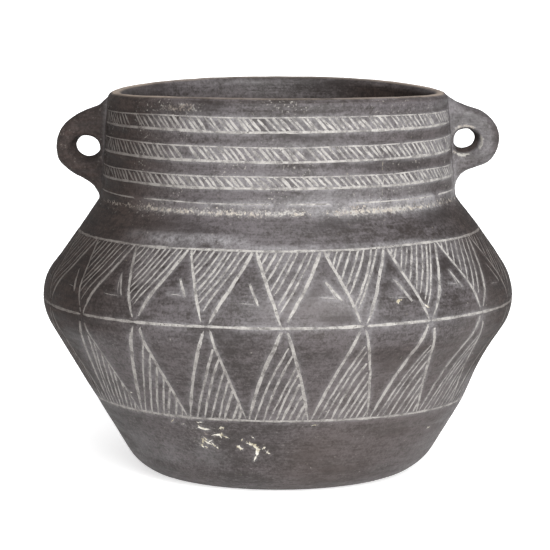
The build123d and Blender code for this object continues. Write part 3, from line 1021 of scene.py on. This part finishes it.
# Pale haze near the cuts, on the bands and in patches; one patch is painted sheen.
haze_and_sheen = np.exp(-full_gap) * 0.45
for low, high in HATCH_BANDS:
    haze_and_sheen += 0.05 * window(outer_z, low, high, 0.5)
haze_and_sheen += 0.3 * window(outer_z, *FOOT_BAND, 0.6)
for strength, *where in HAZE_AND_SHEEN_PATCHES:
    haze_and_sheen += strength * patch(*where)
for lug in LUG_BEARINGS:
    haze_and_sheen += 0.25 * window(np.abs(bearing_all - lug), 8.8, 10.8, 0.5) * window(outer_z, 164, 221, 3)
haze_and_sheen = np.where(outside, np.clip(haze_and_sheen, 0, 1), 0.05)

# Lime residue round the foot of the neck, and smears of it elsewhere.
CRUST_Z = FOOT_BAND[0] + 1.9
crusted = 0.3 + 0.5 * window(bearing_all, -74, 9, 6) + 0.6 * window(bearing_all, 15, 50, 5)
crusted += 0.35 * window(bearing_all, 50, 78, 5) + 0.4 * window(bearing_all, 120, 190, 10)
residue = (0.26 + 0.3 * np.exp(-((outer_z - CRUST_Z) / 1.8) ** 2)) * crusted
residue *= window(outer_z, FOOT_BAND[0] - 0.5, FOOT_BAND[1] + 0.5, 0.8)
for strength, *where in RESIDUE_PATCHES:
    residue = np.maximum(residue, strength * patch(*where))
residue = np.where(outside, residue, 0)

rawness = np.array([RAWNESS.get(cut.filler, 0.0) for cut in cuts] + [0.0])
chipped = np.zeros(len(all_sheet))
chipped[:len(sheet)] = rawness[owner] * (depth > 0.02)
specks = 0.1 + 0.6 * smooth(160, 166, outer_z) * outside
wear = smooth(3.4, 1.8, np.abs(from_crown - 0.4)) * (0.4 + 0.6 * np.sin(np.radians(bearing_all)) ** 2)

# Painted shade: a line under the lip, the inside, the left of the upper half, the flanks, patches,
# the plain channels of the neck away from the front, and the lower body.
upper = smooth(84, 104, outer_z) * outside
shade_layers = [
    0.5 * window(from_crown, -5.6, -4.4, 0.5) + 0.6 * smooth(4, 30, from_crown),
    smooth(2, 10, from_crown) * window(bearing_all, 80, 155, 16),
    0.98 * smooth(-20, -60, bearing_all) * smooth(-150, -110, bearing_all) * upper,
]
for side, low, high in SHADED_FLANKS:
    shaded_flank = smooth(50, 72, side * bearing_all) * smooth(128, 104, side * bearing_all)
    shade_layers.append(0.9 * shaded_flank * window(outer_z, low, high, 10) * outside)
shade_layers.extend(strength * patch(*where) for strength, *where in SHADE_PATCHES)
shade_layers.append(0.35 * smooth(0.3, 0.9, channels(all_sheet)) * smooth(14, 60, np.abs(bearing_all)))
shade_layers.append(0.3 * smooth(104, 90, outer_z) * outside)
fields = {
    "haze_and_sheen": haze_and_sheen,
    "wear": wear,
    "chip": chipped,
    "specks": specks,
    "painted_shade": np.max(shade_layers, axis=0),
    "residue": residue,
}


def compact(faces):
    """Renumbers faces to use only their own points; gives the points' old numbers too."""
    used = np.array(sorted({v for face in faces for v in face}))
    place_of = {old: new for new, old in enumerate(used)}
    return used, [tuple(place_of[v] for v in face) for face in faces]


def split_normals(points, faces, smooth_count, vertex_normal):
    """One normal per face corner: shared ones on the skin, flat ones on the seam faces."""
    corners = []
    for number, face in enumerate(faces):
        if number < smooth_count:
            corners.extend(vertex_normal[v] for v in face)
        else:
            flat = np.cross(points[face[1]] - points[face[0]], points[face[2]] - points[face[0]])
            corners.extend([flat / max(np.linalg.norm(flat), 1e-9)] * len(face))
    return corners


for name, spans in PIECE_SPANS.items():
    skin = [f for f, level in zip(faces, levels) if any(low <= level <= high for low, high in spans)]
    seam = seam_faces(skin)
    used, local = compact(skin + seam)
    points = body[used]
    obj = make_mesh(name + "_clay", points, local, split_normals(points, local, len(skin), normals[used]))
    paint(obj, {field: values[used] for field, values in fields.items()})
    finish_piece(obj, clay, name)


# ---- Filler lying in the furrows ----
def fans(faces_here):
    """Groups of the faces round one point that hang together through shared edges."""
    groups = []
    for face in faces_here:
        touching = [group for group in groups if any(len(set(face) & set(other)) > 1 for other in group)]
        groups = [group for group in groups if group not in touching] + [sum(touching, [face])]
    return groups


def without_pinches(chosen):
    """Drops the smaller side wherever two parts of a filler would meet in a single point."""
    chosen = set(chosen)
    while True:
        starts, counts = np.unique([a for a, _ in boundary_edges(sorted(chosen))], return_counts=True)
        pinched = set(starts[counts > 1].tolist())
        if not pinched:
            return sorted(chosen)
        around = {v: [] for v in pinched}
        for face in sorted(chosen):
            for v in face:
                if v in around:
                    around[v].append(face)
        for faces_here in around.values():
            for group in sorted(fans(faces_here), key=len)[:-1]:
                chosen.difference_update(group)


def filler_piece(name, chosen, thickness, under, material):
    """A thin closed crust over some faces of the sheet: it ends below the clay surface all round."""
    used, local = compact(without_pinches(chosen))
    top = place(all_sheet[used], sunk[used] - thickness[used])
    low = place(all_sheet[used], sunk[used] + under)
    count = len(used)
    made = list(local) + [tuple(v + count for v in face[::-1]) for face in local]
    made += [(b, a, a + count, b + count) for a, b in boundary_edges(local)]
    obj = make_mesh(name + "_crust", np.concatenate((top, low)), made)
    # The crust takes the clay's painted shade.
    paint(obj, {"painted_shade": np.tile(fields["painted_shade"][used], 2)})
    finish_piece(obj, material, name)


belt = body[:len(sheet)]
belt_faces = same[triangles]
first, second, third = belt_faces.T
belt_faces = belt_faces[(first != second) & (second != third) & (first != third)]
cut_filler = np.array([cut.filler for cut in cuts] + [""])
fill_share = 0.44 + 0.34 * noise_at(belt, 3.4, 21) + 0.3 * noise_at(belt, 1.2, 22)
fill_share = np.clip(fill_share, 0.0, 0.85)
thickness = np.full(len(all_sheet), -0.05)
thickness[:len(sheet)] = np.where(depth > 0.02, depth * fill_share, -0.05)
middle_sheet = all_sheet[belt_faces].mean(1)
middle_depth, middle_owner, _ = furrows(middle_sheet)
middle_filler = np.where(middle_depth > 0.015, cut_filler[middle_owner], "")
for filler in sorted({cut.filler for cut in cuts} - {"chip", "scratch", "faint_scratch"}):
    chosen = [tuple(face) for face in belt_faces[middle_filler == filler]]
    filler_piece(filler, chosen, thickness, 0.12, lime)

# Crumbly crust round the foot of the neck: a rough line of it low on the raised band, with loose crumbs.
foot_low, foot_high = FOOT_BAND
middle_z = outer_height(middle_sheet[:, 1])
on_foot = (middle_z > foot_low + 0.4) & (middle_z < foot_high - 1.0)
crust_faces = [tuple(face) for face in belt_faces[on_foot]]
belt_z = outer_height(sheet[:, 1])
rich = crusted[:len(sheet)]
line_part = np.exp(-((belt_z - CRUST_Z) / 1.3) ** 2)
crumbs = 0.3 * noise_at(belt, 7, 31) + 0.6 * noise_at(belt, 1.6, 32) + 0.6 * noise_at(belt, 0.8, 33)
edge = smooth(foot_low + 0.4, foot_low + 1.2, belt_z) * smooth(foot_high - 1.2, foot_high - 2.2, belt_z)
heaped = crumbs - 0.86 + 0.62 * line_part * rich + 0.3 * rich
crust = np.full(len(all_sheet), -0.3)
crust[:len(sheet)] = np.clip(heaped * 0.55 * edge - 0.2 * (1 - edge), -0.3, 0.28)
filler_piece("neck_foot_crust", crust_faces, crust, 0.35, cream)


# ---- Lugs ----
LUG_VOXEL = 0.7
# Block that a lug is built in: outwards from the jar's axis, sideways, and upwards.
LUG_BLOCK = ((92, 136), (-21, 21), (152, 236))
LUG_HALF_DEPTH = 7.3
LUG_ROUND = 5.6
LUG_BLEND = 5.0               # how softly the lug runs into the neck
HOLE_SLANT = (2.2, -1.8)      # the finger hole opens outwards and down towards the front
# Outer edge of each lug as (radius, height), then its finger hole as (centre, half width and height).
LUGS = {
    "left_lug": (
        -1,
        (
            (96, 229), (103.6, 223.9), (108.4, 220.2), (120.9, 215), (129.4, 207.4), (133, 196.9),
            (130.9, 187.4), (123.6, 180.8), (112.4, 174.2), (107.4, 169), (96, 162),
        ),
        ((113.4, 196.5), (7.7, 6.3)),
    ),
    "right_lug": (
        1,
        (
            (96, 229), (103.8, 224.6), (110.2, 221.2), (121.2, 217.4), (129.4, 210.8), (132.5, 201.8),
            (130.7, 192.4), (124.4, 185.9), (112.4, 181.4), (106.8, 176.8), (96, 167),
        ),
        ((110.6, 200.9), (7.2, 6.2)),
    ),
}


def smooth_curve(points, steps=9):
    """Curve through the points, which it follows without corners (Catmull-Rom)."""
    points = np.array(points, float)
    points = np.concatenate((2 * points[:1] - points[1:2], points, 2 * points[-1:] - points[-2:-1]))
    t = np.linspace(0, 1, steps, endpoint=False)[:, None]
    curve = []
    for a, b, c, d in zip(points, points[1:], points[2:], points[3:]):
        square = 2 * a - 5 * b + 4 * c - d
        cube = 3 * (b - c) + d - a
        curve.append((2 * b + (c - a) * t + square * t ** 2 + cube * t ** 3) / 2)
    return np.concatenate(curve + [points[-2:-1]])


def outline_distance(spots, outline):
    """Distance of flat points from a closed outline, negative inside it (even-odd rule)."""
    start, end = outline, np.roll(outline, -1, axis=0)
    run = end - start
    apart = spots[:, None] - start[None]
    t = np.clip((apart * run).sum(2) / (run ** 2).sum(1), 0, 1)
    away = np.linalg.norm(apart - t[..., None] * run, axis=2).min(1)
    above_start = start[None, :, 1] > spots[:, None, 1]
    above_end = end[None, :, 1] > spots[:, None, 1]
    rise = np.where(run[:, 1] == 0, 1e-9, run[:, 1])
    meets = start[:, 0] + run[:, 0] * (spots[:, None, 1] - start[:, 1]) / rise
    crossings = ((above_start != above_end) & (spots[:, None, 0] < meets)).sum(1)
    return np.where(crossings % 2 == 1, -away, away)


def soft_min(a, b, blend):
    """The lesser of two distances, run into each other over blend."""
    share = np.clip(0.5 + 0.5 * (b - a) / blend, 0, 1)
    return b * (1 - share) + a * share - blend * share * (1 - share)


def neck_radius(side, across, heights):
    """Real radius of the neck's outside under a lug, on a grid of sideways places and heights."""
    bearing = side * (90 + np.degrees(np.arcsin(across / NECK_RADIUS)))
    rows = [s_at(z) for z in heights]
    spots = np.array([(math.radians(b) * SHEET_RADIUS, v) for b in bearing for v in rows])
    placed = place(spots, channels(spots))
    return np.hypot(placed[:, 0], placed[:, 1]).reshape(len(across), len(heights))


def largest_part(faces):
    """The largest set of faces that hang together."""
    at_point = {}
    for number, face in enumerate(faces):
        for v in face:
            at_point.setdefault(v, []).append(number)
    left = set(range(len(faces)))
    best = []
    while len(left) > len(best):
        part, edge = [], [left.pop()]
        while edge:
            number = edge.pop()
            part.append(number)
            for v in faces[number]:
                for other in at_point.pop(v, ()):
                    if other in left:
                        left.remove(other)
                        edge.append(other)
        best = max(best, part, key=len)
    return [faces[number] for number in sorted(best)]


def lug_piece(side, edge, hole):
    """A pulled and pierced lug whose roots are smeared on to the neck."""
    out, across, heights = (np.arange(*span, LUG_VOXEL) for span in LUG_BLOCK)
    flat_out, flat_z = (grid.ravel() for grid in np.meshgrid(out, heights, indexing="ij"))
    outline = smooth_curve(edge)
    flat = outline_distance(np.column_stack((flat_out, flat_z)), outline).reshape(len(out), 1, len(heights))
    x, y, z = np.meshgrid(out, across, heights, indexing="ij")
    deep = LUG_HALF_DEPTH + 2.2 * smooth(112, 101, x) + 0.5 * smooth(200, 215, z)
    middle = 0.8 * np.sin((z - 190) / 16)
    rim_x = flat + LUG_ROUND
    rim_y = np.abs(y - middle) - deep + LUG_ROUND
    core = np.minimum(np.maximum(rim_x, rim_y), 0)
    lug = core + np.hypot(np.maximum(rim_x, 0), np.maximum(rim_y, 0)) - LUG_ROUND
    (hole_x, hole_z), (half_x, half_z) = hole
    front = smooth(2.0, -7.5, y)
    hole_x = hole_x + HOLE_SLANT[0] * front
    hole_z = hole_z + HOLE_SLANT[1] * front
    flare = 1 + 0.26 * front + 0.2 * smooth(3.0, 8.5, y)
    pierced = (np.hypot((x - hole_x) / half_x, (z - hole_z) / half_z) - flare) * min(half_x, half_z)
    lug = -soft_min(-lug, pierced, 2.6)
    neck = np.hypot(x, y) - neck_radius(side, across, heights)[None]
    high, low = edge[1][1], edge[-1][1]
    past_ends = np.maximum(smooth(high - 4, high + 4, z), smooth(low + 4, low - 4, z))
    hidden = np.maximum(smooth(9.5, 16.5, np.abs(y)), past_ends)
    field = soft_min(lug, neck + 0.1 + 3.4 * hidden, LUG_BLEND)
    field = np.maximum(field, -(neck + 2.6))
    grid = openvdb.FloatGrid(3.0)
    grid.copyFromArray(field.astype(np.float32))
    points, quads = grid.convertToQuads()
    points = points * LUG_VOXEL + (out[0], across[0], heights[0])
    points[:, 0] *= side
    bumps = 0.28 * noise_at(points, 9, 41 + side) + 0.1 * noise_at(points, 3, 43)
    proud = smooth(1.0, 5.0, np.hypot(points[:, 0], points[:, 1]) - NECK_RADIUS)
    faces = [tuple(int(v) for v in (quad if side > 0 else quad[::-1])) for quad in quads]
    points -= vertex_normals(points, faces) * (bumps * proud)[:, None]
    used, faces = compact(largest_part(faces))
    return points[used], faces


# Looks by side: haze, haze round the hole, residue at the hole, and painted shade with its strength and the
# radii it sets in at.
LUG_LOOKS = {
    -1: (0.05, 0.4, 0.25, (0.85, 101, 106)),
    1: (0.25, 1.0, 0.6, (0.7, 126, 133)),
}
for name, (side, edge, hole) in LUGS.items():
    points, lug_faces = lug_piece(side, edge, hole)
    obj = make_mesh(name + "_clay", points, lug_faces)
    out, sideways, up = np.abs(points[:, 0]), points[:, 1], points[:, 2]
    (hole_x, hole_z), (half_x, half_z) = hole
    lug_haze, rim_haze, rim_residue, (shade_share, shade_start, shade_full) = LUG_LOOKS[side]
    from_hole = np.hypot((out - hole_x - 1) / half_x, (up - hole_z + 1) / half_z)
    rim = window(from_hole, 1.25, 1.6, 0.15) * smooth(0, -5, sideways)
    # Painted shade inside the finger hole, and over the lug beyond the side's radius.
    hole_shade = 0.85 * smooth(1.28, 1.1, from_hole) * window(sideways, -5.5, 6, 1.0)
    paint(obj, {
        "haze_and_sheen": lug_haze + 0.2 * smooth(110, 105, out) + 0.25 * rim * rim_haze,
        "residue": rim_residue * rim * smooth(-0.5, 0.6, noise_at(points, 6, 51)),
        "specks": np.full(len(points), 0.3),
        "painted_shade": np.maximum(hole_shade, shade_share * smooth(shade_start, shade_full, out)),
    })
    finish_piece(obj, clay, name)


# ---- Floor, light and camera ----
FLOOR_GLOW = 0.65             # the floor is a lit white table, so shadows on it stay faint
FLOOR_SIZE = 30.0


def floor_material():
    shader = Shader("pale_floor")
    cloud = shader.span(shader.noise(1.5, 2, 0.5), 0.3, 0.7)
    return shader.surface({
        "Base Color": shader.mix(cloud, grey(0.86), grey(0.88)),
        "Roughness": 0.9,
        "Emission Color": grey(1.0),
        "Emission Strength": FLOOR_GLOW,
    })


corners = [(x * FLOOR_SIZE, y * FLOOR_SIZE, 0) for x, y in ((-1, -1), (1, -1), (1, 1), (-1, 1))]
floor_mesh = bpy.data.meshes.new("floor")
floor_mesh.from_pydata(corners, [], [(0, 1, 2, 3)])
floor_mesh.materials.append(floor_material())
floor_object = new_object("floor", floor_mesh)


def sun(name, direction, strength, softness):
    light = bpy.data.lights.new(name, "SUN")
    light.energy = strength
    light.angle = math.radians(softness)
    new_object(name, light).rotation_euler = Vector(direction).to_track_quat("-Z", "Y").to_euler()


# The sun directions say where the light travels to.
sun("key", (-0.25, 1.0, -0.5), 5.9, 50)
sun("top_fill", (-0.1, 0.1, -1.0), 0.6, 60)

# The studio is dark on the left and lighter on the right.
DARK_SIDE = (0.04, 0.032, 0.028)
LIGHT_SIDE = (0.36, 0.36, 0.375)
world = bpy.data.worlds.new("studio")
world.use_nodes = True
studio = Nodes(world.node_tree)
split = studio.node("SeparateXYZ", {"Vector": studio.node("TexCoord", {}).outputs["Generated"]})
rightwards = studio.node("MapRange", {"Value": split.outputs["X"], "From Min": -0.9, "From Max": 0.8})
side_colour = studio.mix(rightwards.outputs["Result"], DARK_SIDE, LIGHT_SIDE)
studio.put(studio.nodes["Background"].inputs["Color"], side_colour)
studio.put(studio.nodes["Background"].inputs["Strength"], 1.0)
bpy.context.scene.world = world
bpy.context.scene.view_settings.view_transform = "Standard"

CAMERA_PITCH = 7.452          # degrees downwards
CAMERA_LENS = 196.9
CAMERA_PLACE = (-0.0018, -1.8, 0.3534)
camera = bpy.data.cameras.new("camera")
camera.lens = CAMERA_LENS
camera.sensor_width = 36
camera_object = new_object("camera", camera)
camera_object.location = CAMERA_PLACE
camera_object.rotation_euler = (math.radians(90 - CAMERA_PITCH), 0, 0)
bpy.context.scene.camera = camera_object
